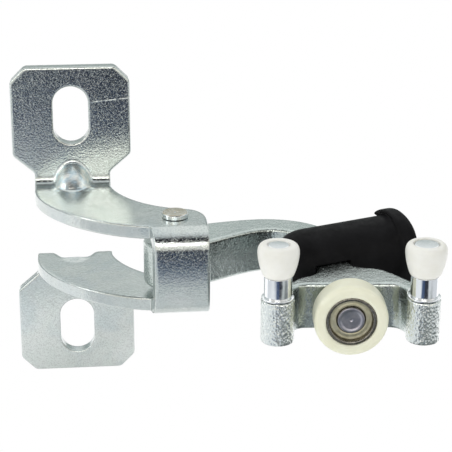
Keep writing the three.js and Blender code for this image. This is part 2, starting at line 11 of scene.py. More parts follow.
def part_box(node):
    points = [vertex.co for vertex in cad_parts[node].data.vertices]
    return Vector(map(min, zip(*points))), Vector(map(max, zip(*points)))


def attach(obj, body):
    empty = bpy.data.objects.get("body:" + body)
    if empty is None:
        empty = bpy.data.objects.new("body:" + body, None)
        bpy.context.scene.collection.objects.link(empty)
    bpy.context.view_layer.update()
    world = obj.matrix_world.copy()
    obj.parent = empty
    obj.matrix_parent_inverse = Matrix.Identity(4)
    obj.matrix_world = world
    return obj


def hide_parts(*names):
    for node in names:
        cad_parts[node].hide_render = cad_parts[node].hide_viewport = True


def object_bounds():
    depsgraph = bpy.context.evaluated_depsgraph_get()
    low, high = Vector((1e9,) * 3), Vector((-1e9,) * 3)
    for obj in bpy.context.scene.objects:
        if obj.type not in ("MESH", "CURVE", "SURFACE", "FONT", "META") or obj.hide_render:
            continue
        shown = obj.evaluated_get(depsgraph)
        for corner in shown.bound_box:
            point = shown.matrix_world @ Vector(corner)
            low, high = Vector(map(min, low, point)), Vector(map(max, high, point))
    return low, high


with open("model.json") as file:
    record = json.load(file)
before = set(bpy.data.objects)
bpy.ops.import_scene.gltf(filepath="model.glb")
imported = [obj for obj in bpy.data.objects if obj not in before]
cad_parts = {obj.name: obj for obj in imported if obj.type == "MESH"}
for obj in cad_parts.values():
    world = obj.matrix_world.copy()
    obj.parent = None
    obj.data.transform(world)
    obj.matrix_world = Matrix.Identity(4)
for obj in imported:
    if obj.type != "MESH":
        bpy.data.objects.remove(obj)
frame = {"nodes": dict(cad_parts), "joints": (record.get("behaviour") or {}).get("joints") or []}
cad_low, cad_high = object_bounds()

MM = 0.001
JOINTS = {joint["name"]: joint for joint in frame["joints"]}


# ---------------------------------------------------------------- places
def joint_origin(name):
    return Vector(JOINTS[name]["pos_m"]) / MM


PIVOT = joint_origin("arm_swing")
ROLLER_AXIS = Vector(JOINTS["main_roller_spin"]["axis"])
ARM_ANGLE = -math.atan2(ROLLER_AXIS.x, ROLLER_AXIS.y)

HINGE_FRAME = Matrix.Translation(PIVOT)
ARM_FRAME = HINGE_FRAME @ Matrix.Rotation(ARM_ANGLE, 4, "Z")
ROLLER_FRAME = (
    Matrix.Translation(joint_origin("main_roller_spin"))
    @ Matrix.Rotation(ARM_ANGLE, 4, "Z")
    @ Matrix.Rotation(-math.pi / 2, 4, "X")
)
MIRROR_Z = Matrix.Scale(-1, 4, (0, 0, 1))

# ---------------------------------------------------------------- sizes
PLATE = 6.5
FLANGE_WIDTH = 58.4
FLANGE_TOP_Z = 80.5
FLANGE_CHAMFER = 7.2
FLANGE_SHOULDER_Z = 35.9
NECK_WIDTH = 37.4
NECK_TOP_Z = 26.8
SLOT_WIDTH = 17.3
SLOT_LENGTH = 29.3
SLOT_Z = 56.2
ARM_INNER_Z = 14.8
ARM_OUTER_Z = ARM_INNER_Z + PLATE
FLANGE_BEND_R = 4 + PLATE / 2
FLANGE_BEND_Y = -4 - PLATE
WEB_FRONT_Y = -22.5
WEB_LEFT_X = -10.4
WEB_RIGHT_X = 14.6
WEB_BEND_R = 10
WEB_CROWN = 0.45
PLATE_EDGE_R = 0.75
GUSSET_SLOPE = math.radians(32.6)
GUSSET_CENTRE = (0, -8.5, 22.8)
GUSSET_RADII = (9.3, 14.2, 7.7)
DIMPLE_CENTRE = (0, -4, 15.2)
DIMPLE_RADII = (9.2, 14, 8.6)

PIN_R = 5
PIN_BORE_R = 5.1
PIN_HEAD_R = 6.15
PIN_TAIL_R = 6.35
PIN_HEAD_HEIGHT = 2.4
WASHER_R = 11.5
BUSH_R = 7
BUSH_FLANGE_R = 10.5
BUSH_FLANGE = 1.5
BUSH_INNER_END = 1.3

FORGING_HALF = 10.8
FORGING_EDGE_R = 1.7
HUB_R = 15
HUB_BORE_R = 7.05
NECK_LEFT_X = 64
NECK_RIGHT_X = 79.3
CARRIAGE_X = 76.3
CARRIAGE_FRONT_Y = -57.8
ROLLER_LINE_Y = -69.25
GUIDE_HALF_SPACING = 31.6
BOSS_R = 7.35
BOSS_TOP_Z = 9
SPOT_FACE_R = 7.5
BOSS_BORE_R = 4.6
AXLE_BORE_R = 4.1
AXLE_BORE_DEPTH = 15

GUIDE_SHANK_R = 4.5
GUIDE_FOOT_R = 7.1
GUIDE_COLLAR_R = 6.1
GUIDE_COLLAR_TOP_Z = 19.5
GUIDE_STEM_R = 4
GUIDE_HEAD_FLOOR_Z = 32.8
GUIDE_HEAD_R = {"left": 4.6, "right": 5.3}
GUIDE_ROLLER_BORE_R = 4.1
GUIDE_ROLLER_BOTTOM_Z = 19.7
GUIDE_ROLLER_TOP_Z = 34.1

# Along the main roller's axle, from the middle of its bearing
BEARING_HALF = 3.1
BEARING_BORE_R = 4
INNER_LAND_R = 6.05
OUTER_LAND_R = 9.15
SHIELD_SEAT_R = 9.5
OUTER_RING_R = 11
OUTER_RING_HALF = 5.3
TYRE_FRONT = 5.8
TYRE_REAR = 7
TYRE_R = 16.2
BALL_COUNT = 7
BALL_CIRCLE = 7.5
BALL_R = 1.95
GROOVE_R = 2.1
AXLE_HEAD_R = 6
AXLE_HEAD_HEIGHT = 0.8
AXLE_STEM_R = 4
AXLE_SHANK_R = 3.95
AXLE_SHANK_DEPTH = 14.5

BUFFER_SLANT = math.radians(25)
BUFFER_X = 69.5
BUFFER_Y = -20
BUFFER_AXIS_Z = 8.5
BUFFER_BOTTOM_Z = -6
BUFFER_R = 14.7
BUFFER_START = -22
BUFFER_END = 39.5
BUFFER_FLANGE_R = 17.4
BUFFER_FLANGE_WIDTH = 6.2
FLANGE_CUT = math.radians(41)

# The score on the upper flange: its height at x = 0 and its rise per millimetre
SCORE_Z = 61.9
SCORE_SLOPE = 0.09


# ---------------------------------------------------------------- curves
def cubic(p0, p1, p2, p3, steps=14):
    t = np.linspace(0, 1, steps + 1)[1:, None]
    p0, p1, p2, p3 = (np.array(p, float) for p in (p0, p1, p2, p3))
    return (
        (1 - t) ** 3 * p0 + 3 * (1 - t) ** 2 * t * p1 + 3 * (1 - t) * t**2 * p2 + t**3 * p3
    ).tolist()


def quadratic(p0, p1, p2, steps=10):
    t = np.linspace(0, 1, steps + 1)[1:, None]
    p0, p1, p2 = (np.array(p, float) for p in (p0, p1, p2))
    return ((1 - t) ** 2 * p0 + 2 * (1 - t) * t * p1 + t**2 * p2).tolist()


def arc(centre, radius, start, end, steps=24):
    a = np.radians(np.linspace(start, end, steps + 1))
    return np.stack([centre[0] + radius * np.cos(a), centre[1] + radius * np.sin(a)], 1).tolist()


def rounded(points, radius, steps=3, closed=True):
    """The same profile with each corner cut round."""
    points = [np.array(p, float) for p in points]
    out = []
    for i, corner in enumerate(points):
        if not closed and i in (0, len(points) - 1):
            out.append(corner.tolist())
            continue
        before, after = points[i - 1], points[(i + 1) % len(points)]
        reach_in = min(radius, 0.45 * np.linalg.norm(before - corner))
        reach_out = min(radius, 0.45 * np.linalg.norm(after - corner))
        a = corner + (before - corner) / np.linalg.norm(before - corner) * reach_in
        b = corner + (after - corner) / np.linalg.norm(after - corner) * reach_out
        out += [a.tolist()] + quadratic(a, corner, b, steps)
    return out


# ---------------------------------------------------------------- mesh helpers
def mesh_object(name, vertices, faces):
    """A smooth-shaded object from millimetre vertices in the part's frame."""
    mesh = bpy.data.meshes.new(name)
    mesh.from_pydata((np.asarray(vertices, float) * MM).tolist(), [], faces)
    mesh.validate()
    mesh.shade_smooth()
    thing = bpy.data.objects.new(name, mesh)
    bpy.context.scene.collection.objects.link(thing)
    return thing


def lathe(name, profile, place, segments=96):
    """Turns a counter-clockwise [radius, height] profile about the place's Z axis.

    The profile closes on itself or on the axis.
    """
    rings = []
    vertices = []
    angles = np.linspace(0, 2 * math.pi, segments, endpoint=False)
    for r, h in profile:
        if r < 1e-6:
            rings.append([len(vertices)] * segments)
            vertices.append((0, 0, h))
        else:
            rings.append(list(range(len(vertices), len(vertices) + segments)))
            vertices += [(r * math.cos(a), r * math.sin(a), h) for a in angles]
    open_ended = profile[0][0] < 1e-6 and profile[-1][0] < 1e-6
    pairs = list(zip(rings, rings[1:])) + ([] if open_ended else [(rings[-1], rings[0])])
    faces = []
    for low, high in pairs:
        for i in range(segments):
            j = (i + 1) % segments
            face = [low[i], low[j], high[j], high[i]]
            face = [v for k, v in enumerate(face) if v not in face[:k]]
            if len(face) > 2:
                faces.append(face)
    points = np.array(vertices) @ np.array(place.to_3x3()).T + np.array(place.translation)
    if place.to_3x3().determinant() < 0:
        faces = [face[::-1] for face in faces]
    thing = mesh_object(name, points, faces)
    weighted = thing.modifiers.new("flat faces", "WEIGHTED_NORMAL")
    weighted.keep_sharp = False
    weighted.weight = 80
    return thing


class Outline:
    """Signed distance to a flat outline, negative inside, sampled on a fine grid."""

    PITCH = 0.25

    def __init__(self, points, closed=True, margin=7):
        points = np.array(points, float)
        self.low = points.min(0) - margin
        count = np.ceil((points.max(0) + margin - self.low) / self.PITCH).astype(int) + 1
        axes = [self.low[i] + self.PITCH * np.arange(count[i]) for i in (0, 1)]
        x, y = np.meshgrid(*axes, indexing="ij")
        best = np.full(x.shape, 1e9)
        inside = np.zeros(x.shape, bool)
        ends = np.roll(points, -1, axis=0)
        for (ax, ay), (bx, by) in list(zip(points, ends))[: None if closed else -1]:
            ex, ey = bx - ax, by - ay
            length = ex * ex + ey * ey
            if length < 1e-12:
                continue
            t = np.clip(((x - ax) * ex + (y - ay) * ey) / length, 0, 1)
            best = np.minimum(best, (x - ax - t * ex) ** 2 + (y - ay - t * ey) ** 2)
            if ay != by:
                inside ^= ((ay > y) != (by > y)) & (x < ax + (y - ay) * ex / ey)
        best = np.sqrt(best)
        self.grid = np.where(inside, -best, best) if closed else best

    def __call__(self, x, y):
        u = np.clip((x - self.low[0]) / self.PITCH, 0, self.grid.shape[0] - 1.001)
        v = np.clip((y - self.low[1]) / self.PITCH, 0, self.grid.shape[1] - 1.001)
        i, j = u.astype(int), v.astype(int)
        f, g = u - i, v - j
        near = self.grid[i, j] * (1 - f) + self.grid[i + 1, j] * f
        far = self.grid[i, j + 1] * (1 - f) + self.grid[i + 1, j + 1] * f
        return near * (1 - g) + far * g


def both(a, b, radius):
    """Inside both, with the shared edge rounded."""
    u, v = a + radius, b + radius
    return np.minimum(np.maximum(u, v), 0) + np.hypot(np.maximum(u, 0), np.maximum(v, 0)) - radius


def either(a, b, blend):
    """Inside either, with a soft fillet where they meet."""
    h = np.clip(0.5 + 0.5 * (b - a) / blend, 0, 1)
    return b * (1 - h) + a * h - blend * h * (1 - h)


def ellipsoid(x, y, z, centre, radii, slope):
    """About the distance to an ellipsoid turned by slope about X."""
    c, s = math.cos(slope), math.sin(slope)
    y, z = y - centre[1], z - centre[2]
    across, along, out = x - centre[0], c * y + s * z, -s * y + c * z
    size = np.sqrt((across / radii[0]) ** 2 + (along / radii[1]) ** 2 + (out / radii[2]) ** 2)
    return (size - 1) * min(radii)


def slope_of(distance, points):
    step = 0.02
    base = distance(points)
    gradient = np.stack([distance(points + offset) - base for offset in step * np.eye(3)], 1) / step
    return base, gradient


def settle(points, distance, steps=2):
    """Moves points onto the surface where distance is zero."""
    for _ in range(steps):
        base, gradient = slope_of(distance, points)
        size = np.maximum((gradient**2).sum(1), 0.3)
        points = points - np.clip(base / size, -1, 1)[:, None] * gradient
    return points


def formed(name, node, distance, voxel, relief=None, rounds=3):
    """A dense even mesh of a CAD node, settled onto a smooth shape given by its distance function.

    relief gives the height of the surface's own texture at each point, in millimetres.
    """
    source = bpy.data.objects.new(name + "_source", frame["nodes"][node].data.copy())
    bpy.context.scene.collection.objects.link(source)
    remesh = source.modifiers.new("even", "REMESH")
    remesh.mode = "VOXEL"
    remesh.voxel_size = voxel * MM
    evaluated = source.evaluated_get(bpy.context.evaluated_depsgraph_get())
    mesh = bpy.data.meshes.new_from_object(evaluated)
    bpy.data.objects.remove(source)
    count = len(mesh.vertices)
    points = np.empty(count * 3)
    mesh.vertices.foreach_get("co", points)
    points = points.reshape(-1, 3) / MM
    edges = np.empty(len(mesh.edges) * 2, int)
    mesh.edges.foreach_get("vertices", edges)
    a, b = edges.reshape(-1, 2).T
    degree = np.bincount(edges, minlength=count)
    points = settle(points, distance)
    for _ in range(rounds):
        total = np.zeros((count, 3))
        for k in range(3):
            total[:, k] = np.bincount(a, points[b, k], minlength=count)
            total[:, k] += np.bincount(b, points[a, k], minlength=count)
        points = 0.45 * points + 0.55 * total / degree[:, None]
        points = settle(points, distance, 1)
    if relief is not None:
        _, gradient = slope_of(distance, points)
        gradient /= np.maximum(np.linalg.norm(gradient, axis=1), 1e-6)[:, None]
        points = points + relief(points)[:, None] * gradient
    mesh.vertices.foreach_set("co", (points * MM).ravel())
    mesh.update()
    mesh.shade_smooth()
    mesh.materials.clear()
    mesh.name = name
    thing = bpy.data.objects.new(name, mesh)
    bpy.context.scene.collection.objects.link(thing)
    return thing


CELLS = 48
JITTER = np.random.default_rng(11).random((CELLS, CELLS, CELLS, 3))


def cellular(points, size):
    """Distance to the nearest of scattered seeds, in cells: 0 at a seed, about 0.6 between seeds."""
    p = points / size
    home = np.floor(p).astype(int)
    best = np.full(len(points), 9.0)
    for i in (-1, 0, 1):
        for j in (-1, 0, 1):
            for k in (-1, 0, 1):
                cell = home + (i, j, k)
                seed = cell + JITTER[tuple((cell % CELLS).T)]
                best = np.minimum(best, np.linalg.norm(seed - p, axis=1))
    return best


def to_frame(points, place):
    """Part-frame points seen in a place's own axes."""
    inverse = np.array(place.inverted())
    return points @ inverse[:3, :3].T + inverse[:3, 3]


# ---------------------------------------------------------------- materials
def fill_ramp(ramp, stops):
    """Sets a colour ramp's stops; a plain number stands for a grey."""
    elements = ramp.elements
    while len(elements) < len(stops):
        elements.new(0.5)
    for element, (position, colour) in zip(elements, stops):
        element.position = position
        element.color = (*colour, 1) if isinstance(colour, tuple) else (colour, colour, colour, 1)


def material(name, colour, metallic, roughness, **more):
    made = bpy.data.materials.new(name)
    made.use_nodes = True
    made.diffuse_color = (*colour, 1)
    shader = made.node_tree.nodes["Principled BSDF"]
    shader.inputs["Base Color"].default_value = (*colour, 1)
    shader.inputs["Metallic"].default_value = metallic
    shader.inputs["Roughness"].default_value = roughness
    for key, value in more.items():
        shader.inputs[key.replace("_", " ")].default_value = value
    return made


class Painter:
    """Adds nodes to one material."""

    def __init__(self, made):
        self.tree = made.node_tree
        self.shader = self.tree.nodes["Principled BSDF"]
        self.place = self.tree.nodes.new("ShaderNodeTexCoord").outputs["Object"]

    def node(self, kind, inputs=None, **settings):
        made = self.tree.nodes.new(kind)
        for key, value in settings.items():
            setattr(made, key, value)
        for key, value in (inputs or {}).items():
            if isinstance(value, bpy.types.NodeSocket):
                self.tree.links.new(value, made.inputs[key])
            else:
                made.inputs[key].default_value = value
        return made

    def stretched(self, scale, turn=(0, 0, 0)):
        return self.node(
            "ShaderNodeMapping", {"Vector": self.place, "Scale": scale, "Rotation": turn}
        ).outputs["Vector"]

    def noise(self, size, detail=3, rough=0.55, distortion=0, place=None):
        """Fractal noise with features of the given size in millimetres."""
        return self.node(
            "ShaderNodeTexNoise",
            {
                "Vector": place or self.place,
                "Scale": 1 / (size * MM),
                "Detail": detail,
                "Roughness": rough,
                "Distortion": distortion,
            },
        ).outputs["Fac"]

    def cells(self, size, place):
        """Distance to the nearest of scattered seeds, the given size in millimetres apart."""
        made = self.node("ShaderNodeTexVoronoi", {"Vector": place, "Scale": 1 / (size * MM)})
        return made.outputs["Distance"]

    def split(self):
        """The X, Y and Z of the place."""
        return self.node("ShaderNodeSeparateXYZ", {"Vector": self.place}).outputs

    def ramp(self, value, stops):
        made = self.node("ShaderNodeValToRGB", {"Fac": value})
        fill_ramp(made.color_ramp, stops)
        return made.outputs["Color"]

    def fade(self, value, start, end, to=1.0):
        """0 where value is at start, and to where it is at end or past it."""
        inputs = {"Value": value, "From Min": start, "From Max": end, "To Max": to}
        return self.node("ShaderNodeMapRange", inputs).outputs["Result"]

    def mix(self, factor, a, b, blend="MIX"):
        made = self.node("ShaderNodeMix", data_type="RGBA", blend_type=blend)
        for key, value in (("Factor", factor), ("A", a), ("B", b)):
            kind = "VALUE" if key == "Factor" else "RGBA"
            socket = [s for s in made.inputs if s.name == key and s.type == kind][0]
            if isinstance(value, bpy.types.NodeSocket):
                self.tree.links.new(value, socket)
            else:
                socket.default_value = value if key == "Factor" else (*value, 1)
        return [s for s in made.outputs if s.type == "RGBA"][0]

    def maths(self, operation, *values):
        made = self.node("ShaderNodeMath", operation=operation)
        for socket, value in zip(made.inputs, values):
            if isinstance(value, bpy.types.NodeSocket):
                self.tree.links.new(value, socket)
            else:
                socket.default_value = value
        return made.outputs["Value"]

    def least(self, values):
        """The smallest of several values."""
        smallest = values[0]
        for value in values[1:]:
            smallest = self.maths("MINIMUM", smallest, value)
        return smallest

    def bump(self, height, depth, strength=1.0, under=None):
        """A bump whose full height range is depth millimetres."""
        inputs = {"Height": height, "Distance": depth * MM, "Strength": strength}
        if under is not None:
            inputs["Normal"] = under
        return self.node("ShaderNodeBump", inputs).outputs["Normal"]

    def set(self, key, value):
        self.tree.links.new(value, self.shader.inputs[key])


def dull_zinc_with_painted_reflection(paint, centres):
    """Around a pressed gusset the zinc is duller, and a paler bluish tint is painted in as a painted
    reflection of bright overhead light: how far so, and its colour.
    """
    away = []
    for centre in centres:
        inputs = {0: paint.place, 1: tuple(v * MM for v in centre)}
        away.append(paint.node("ShaderNodeVectorMath", inputs, operation="DISTANCE").outputs["Value"])
    near = paint.fade(paint.least(away), 12 * MM, 9 * MM)
    return near, paint.ramp(paint.noise(3, 2), [(0.35, (0.62, 0.74, 0.8)), (0.6, (0.86, 0.9, 0.88))])


def long_score(paint, across, height):
    """One thin, broken score from the slot to the edge of the upper flange: 1 on the line."""
    rise = paint.maths("MULTIPLY_ADD", across, SCORE_SLOPE, SCORE_Z * MM)
    wander = paint.maths("MULTIPLY_ADD", paint.noise(5, 3), 1.2 * MM, -0.6 * MM)
    off = paint.maths("SUBTRACT", paint.maths("ADD", height, wander), rise)
    line = paint.fade(paint.maths("ABSOLUTE", off), 0.3 * MM, 0.02 * MM)
    beside_slot = paint.fade(across, 9 * MM, 12 * MM)
    broken = paint.ramp(paint.noise(1.6, 2, 0.6), [(0.38, 0.15), (0.55, 1.0)])
    return paint.maths("MULTIPLY", paint.maths("MULTIPLY", line, beside_slot), broken)


def near_posts(paint, x, y, posts):
    """1 near upright posts at the given places in plan, fading to 0 just outside them."""
    reach = []
    for post_x, post_y in posts:
        across = paint.maths("SUBTRACT", x, post_x * MM)
        along = paint.maths("SUBTRACT", y, post_y * MM)
        squares = [paint.maths("POWER", side, 2) for side in (across, along)]
        reach.append(paint.maths("SQRT", paint.maths("ADD", *squares)))
    return paint.fade(paint.least(reach), 9.5 * MM, 8 * MM)


def zinc_material(
    name, light, dark, grain, rough, depths, scratch_turn, hammered=(), pressed=(), scored=False
):
    """Bright zinc over rolled or forged steel: cloudy tint, speckled grain, grit and faint scratches.

    grain is the size of the speckle in millimetres, rough the lowest and highest roughness, and depths
    the depths of the grain and of the larger dimples. hammered are places of hammered posts in plan,
    grain is the size of the speckle in millimetres, rough the lowest and highest roughness, and depths
    the depths of the grain and of the larger dimples. hammered are places of hammered posts in plan,
    pressed are centres of duller patches that carry a paler painted reflection, and scored adds the
    flange's long score.
    """
    made = material(name, light, 1.0, rough[0])
    paint = Painter(made)
    x, y, z = paint.split()
    cloud = paint.noise(24, 3, 0.6, 0.6)
    brighter = tuple(min(1, c * 1.04) for c in light)
    tint = paint.ramp(cloud, [(0.3, dark), (0.5, light), (0.72, brighter)])
    film = paint.ramp(paint.noise(11, 2, 0.5, 1.2), [(0.35, (1, 1, 1)), (0.65, (0.93, 0.97, 0.95))])
    tint = paint.mix(0.5, tint, film, "MULTIPLY")
    speck = paint.ramp(paint.noise(0.7 * grain, 1, 0.5), [(0.3, 0.45), (0.48, 0.85), (0.7, 1.0)])
    colour = paint.mix(0.45, tint, speck, "MULTIPLY")
    satin = paint.ramp(paint.noise(2.5, 3, 0.6), [(0.3, rough[0]), (0.7, rough[1])])
    grain_depth, dimple_depth = depths
    normal = paint.bump(paint.noise(grain, 1, 0.5), grain_depth)
    normal = paint.bump(paint.noise(grain * 4, 2), dimple_depth, 1.0, normal)
    turned = paint.stretched((1, 1, 1), (0.3, 0.5, 0.2))
    grit = paint.ramp(paint.noise(0.5, 1, 0.5, 0, turned), [(0.6, 0.0), (0.7, 1.0)])
    normal = paint.bump(grit, 0.03, 1.0, normal)
    scratches = paint.noise(0.5, 2, 0.5, 0, paint.stretched((1, 0.03, 1), scratch_turn))
    normal = paint.bump(paint.ramp(scratches, [(0.62, 0.0), (0.72, 1.0)]), 0.012, 0.6, normal)
    if pressed:
        near, tint_and_painted_reflection = dull_zinc_with_painted_reflection(paint, pressed)
        satin = paint.mix(near, satin, (0.27, 0.27, 0.27))
        # Painted reflection: the paler tint near the gussets stands in for the bright light they reflect.
        colour = paint.mix(near, colour, tint_and_painted_reflection)
    if scored:
        score = long_score(paint, x, z)
        colour = paint.mix(score, colour, (0.8, 0.85, 0.88))
        normal = paint.bump(score, 0.05, 1.0, normal)
    if hammered:
        near = near_posts(paint, x, y, hammered)
        colour = paint.mix(near, colour, (0.76, 0.8, 0.79))
        blows = paint.cells(1.1, paint.stretched((1, 1, 0.75)))
        normal = paint.bump(blows, 0.32, near, normal)
    paint.set("Base Color", colour)
    paint.set("Roughness", satin)
    paint.set("Normal", normal)
    return made


def boss_in_plan(side):
    """Where a guide pin's boss stands in the part's frame, on the left (-1) or right (1)."""
    there = ARM_FRAME @ Vector((CARRIAGE_X + side * GUIDE_HALF_SPACING, ROLLER_LINE_Y, 0))
    return (there.x, there.y)


PLATE_ZINC = zinc_material(
    "bracket_zinc",
    light=(0.61, 0.645, 0.635),
    dark=(0.55, 0.6, 0.61),
    grain=0.75,
    rough=(0.14, 0.2),
    depths=(0.065, 0.02),
    scratch_turn=(0, 0, 0.4),
    pressed=[(0, GUSSET_CENTRE[1] - 3, side * GUSSET_CENTRE[2]) for side in (-1, 1)],
    scored=True,
)
FORGING_ZINC = zinc_material(
    "forging_zinc",
    light=(0.57, 0.62, 0.605),
    dark=(0.49, 0.545, 0.535),
    grain=0.9,
    rough=(0.18, 0.3),
    depths=(0.12, 0.08),
    scratch_turn=(0, 0, -0.3),
    hammered=[boss_in_plan(-1), boss_in_plan(1)],
)


def bright_steel():
    made = material("bright_steel", (0.82, 0.84, 0.86), 1.0, 0.1)
    paint = Painter(made)
    paint.set("Roughness", paint.ramp(paint.noise(3, 3), [(0.35, 0.06), (0.7, 0.2)]))
    lines = paint.noise(0.5, 2, 0.5, 0, paint.stretched((1, 1, 0.05)))
    paint.set("Normal", paint.bump(lines, 0.004))
    return made


def pin_head_steel():
    """Zinc-plated head whose top is tinted tan and darker than its bluish sides."""
    made = material("pin_steel", (0.66, 0.70, 0.72), 1.0, 0.16)
    paint = Painter(made)
    tint_and_painted_reflection = paint.ramp(paint.noise(3.5, 3), [(0.35, (0.50, 0.45, 0.35)), (0.65, (0.62, 0.60, 0.54))])
    top = (ARM_OUTER_Z + 2.2) * MM
    # Above this height the head takes the tan tint; below it the sides keep the bluish one.
    on_top = paint.fade(paint.split()["Z"], top, top + 0.2 * MM)
    side = paint.ramp(paint.noise(2, 2), [(0.35, (0.60, 0.68, 0.74)), (0.65, (0.74, 0.76, 0.74))])
    paint.set("Base Color", paint.mix(on_top, side, tint_and_painted_reflection))
    paint.set("Roughness", paint.ramp(paint.noise(1.2, 3), [(0.3, 0.12), (0.7, 0.3)]))
    paint.set("Normal", paint.bump(paint.noise(0.7, 2), 0.012))
    return made


def head_steel():
    """The riveted end of the roller's axle: dull grey-blue."""
    made = material("head_steel", (0.40, 0.40, 0.46), 1.0, 0.36)
    paint = Painter(made)
    tint = paint.ramp(paint.noise(3, 3), [(0.3, (0.30, 0.31, 0.37)), (0.7, (0.48, 0.47, 0.51))])
    paint.set("Base Color", tint)
    paint.set("Roughness", paint.ramp(paint.noise(1.2, 3), [(0.3, 0.3), (0.7, 0.46)]))
    paint.set("Normal", paint.bump(paint.noise(0.8, 3), 0.02))
    return made


def nylon(name, colour, warm, subsurface):
    depth = {"Subsurface_Scale": 1.5 * MM, "Subsurface_Radius": (1, 1, 0.85)}
    made = material(name, colour, 0.0, 0.4, Subsurface_Weight=subsurface, **depth)
    paint = Painter(made)
    paint.set("Base Color", paint.ramp(paint.noise(7, 3), [(0.3, colour), (0.7, warm)]))
    paint.set("Roughness", paint.ramp(paint.noise(2, 3), [(0.3, 0.3), (0.7, 0.46)]))
    paint.set("Normal", paint.bump(paint.noise(0.5, 3), 0.008))
    return made


def rubber():
    made = material("buffer_rubber", (0.005, 0.005, 0.006), 0.0, 0.5, Specular_IOR_Level=0.09)
    paint = Painter(made)
    stops = [(0.3, (0.003, 0.003, 0.0035)), (0.7, (0.007, 0.007, 0.008))]
    paint.set("Base Color", paint.ramp(paint.noise(9, 4, 0.6), stops))
    paint.set("Roughness", paint.ramp(paint.noise(3, 4, 0.6), [(0.3, 0.46), (0.7, 0.68)]))
    fine = paint.bump(paint.noise(0.35, 3), 0.02)
    paint.set("Normal", paint.bump(paint.noise(4, 2), 0.05, 1.0, fine))
    return made


def shield_metal():
    made = material("shield_steel", (0.66, 0.63, 0.46), 1.0, 0.45)
    paint = Painter(made)
    tint = paint.ramp(paint.noise(2.2, 3), [(0.3, (0.58, 0.55, 0.38)), (0.7, (0.74, 0.71, 0.55))])
    paint.set("Base Color", tint)
    paint.set("Roughness", paint.ramp(paint.noise(1.5, 3), [(0.3, 0.42), (0.7, 0.6)]))
    paint.set("Normal", paint.bump(paint.noise(0.8, 3), 0.03))
    return made


def bearing_metal():
    made = material("bearing_steel", (0.22, 0.21, 0.19), 1.0, 0.3)
    paint = Painter(made)
    tint = paint.ramp(paint.noise(1.6, 3), [(0.3, (0.15, 0.145, 0.13)), (0.7, (0.30, 0.28, 0.25))])
    paint.set("Base Color", tint)
    paint.set("Roughness", paint.ramp(paint.noise(1.5, 3), [(0.3, 0.18), (0.7, 0.36)]))
    paint.set("Normal", paint.bump(paint.noise(0.6, 3), 0.01))
    return made


def bronze():
    made = material("bush_bronze", (0.55, 0.40, 0.20), 1.0, 0.35)
    paint = Painter(made)
    tint = paint.ramp(paint.noise(3, 3), [(0.3, (0.46, 0.33, 0.17)), (0.7, (0.62, 0.47, 0.26))])
    paint.set("Base Color", tint)
    paint.set("Roughness", paint.ramp(paint.noise(2, 3), [(0.3, 0.28), (0.7, 0.45)]))
    paint.set("Normal", paint.bump(paint.noise(0.5, 3), 0.012))
    return made


def cage_plastic():
    made = material("cage_nylon", (0.10, 0.095, 0.08), 0.0, 0.5)
    paint = Painter(made)
    tint = paint.ramp(paint.noise(2, 3), [(0.3, (0.08, 0.075, 0.06)), (0.7, (0.13, 0.12, 0.1))])
    paint.set("Base Color", tint)
    paint.set("Normal", paint.bump(paint.noise(0.5, 3), 0.01))
    return made


BRIGHT_STEEL = bright_steel()
PIN_STEEL = pin_head_steel()
HEAD_STEEL = head_steel()
GUIDE_NYLON = nylon("guide_nylon", (0.78, 0.785, 0.75), (0.73, 0.73, 0.68), 0.25)
TYRE_NYLON = nylon("tyre_nylon", (0.76, 0.77, 0.63), (0.71, 0.71, 0.56), 0.3)
BUFFER_RUBBER = rubber()
SHIELD_STEEL = shield_metal()
BEARING_STEEL = bearing_metal()
BUSH_BRONZE = bronze()
CAGE_NYLON = cage_plastic()


def declare(piece, body, slot, made, *nodes):
    """Gives a piece its material and the body it rides on, and hides the CAD nodes that it replaces; slot
    is not used.
    """
    piece.data.materials.append(made)
    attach(piece, body)
    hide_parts(*nodes)
    return piece


# ---------------------------------------------------------------- door bracket
def strip_line():
    """Middle line of the bent plate, as (y, z), from the flange round to the middle of the web."""
    middle = ARM_INNER_Z + PLATE / 2
    web_y = PIVOT.y + WEB_FRONT_Y + PLATE / 2
    bend = WEB_BEND_R - PLATE / 2
    top = middle - bend
    points = [(-PLATE / 2, FLANGE_TOP_Z + 5), (-PLATE / 2, ARM_OUTER_Z + 4)]
    points += arc((FLANGE_BEND_Y, ARM_OUTER_Z + 4), FLANGE_BEND_R, 0, -90)
    points += arc((web_y + bend, top), bend, 90, 180)
    for i in range(1, 13):
        z = top * (1 - i / 10)
        points.append((web_y - WEB_CROWN * (1 - (z / top) ** 2), z))
    return points


def bracket_plan():
    def at(x, y):
        return (PIVOT.x + x, PIVOT.y + y)

    neck = NECK_WIDTH / 2
    points = [(neck, 2), (-neck, 2), (-neck, PIVOT.y + 44)]
    points += cubic(points[-1], at(-65.5, 22), at(-42, -6), at(WEB_LEFT_X - 2.2, -11.8), 20)
    points += [at(WEB_LEFT_X, WEB_FRONT_Y - 2), at(WEB_RIGHT_X, WEB_FRONT_Y - 2), at(WEB_RIGHT_X, -3)]
    points += quadratic(points[-1], at(14.2, 8.4), at(6, 11))
    points += cubic(points[-1], at(-17, 16), at(-27.5, 38), (neck, PIVOT.y + 48.5), 20)
    return points


def flange_outline():
    w, n, c = FLANGE_WIDTH / 2, NECK_WIDTH / 2, FLANGE_CHAMFER
    half = [(n, ARM_INNER_Z - 3), (n, NECK_TOP_Z), (w, FLANGE_SHOULDER_Z)]
    half += [(w, FLANGE_TOP_Z - c), (w - c, FLANGE_TOP_Z)]
    return rounded(half + [(-x, z) for x, z in half[::-1]], 1.6, 5)


